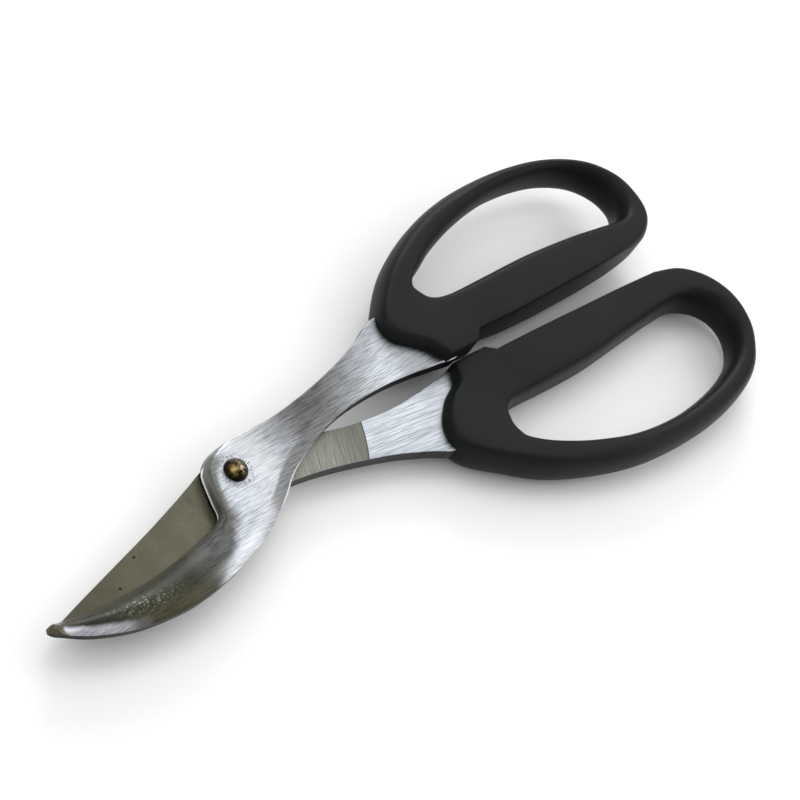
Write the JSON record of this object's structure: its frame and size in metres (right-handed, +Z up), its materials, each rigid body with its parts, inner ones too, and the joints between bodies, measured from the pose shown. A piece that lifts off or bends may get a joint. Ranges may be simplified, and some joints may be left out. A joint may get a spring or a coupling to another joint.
{
  "type": "poultry shears",
  "caption": "Bypass poultry shears with a hooked blade over a straight-backed cutting blade, a domed pivot rivet and large moulded finger loops, lying nearly closed.",
  "frame": {"origin": "on the surface that the shears lie on, under the middle of the whole outline in the rest pose", "axes": "+X from the blade tip towards the grips, +Y towards the upper grip, which belongs to the hooked blade, +Z up, along the rivet"},
  "size_m": [0.2586, 0.0934, 0.0199],
  "materials": {
    "brushed_steel": "brushed, polished towards the belly of the blade",
    "ground_steel": "dull surface-ground, with brushed shank",
    "grip_plastic": "satin moulded charcoal",
    "rivet_metal": "dark bronze tint, polished",
    "burr_metal": "satin"
  },
  "bodies": {
    "hook_half": {"hook_blade": "brushed_steel", "upper_grip": "grip_plastic", "pivot_rivet": "rivet_metal", "rivet_burr": "burr_metal", "pivot_washer": "burr_metal"},
    "cutter_half": {"cutting_blade": "ground_steel", "lower_grip": "grip_plastic"}
  },
  "joints": [
    {"name": "pivot", "type": "hinge", "parent": "hook_half", "child": "cutter_half", "pos_m": [-0.05509, 0.00281, 0.00995], "axis": [0, 0, -1], "range_deg": [-0.3, 50]}
  ]
}
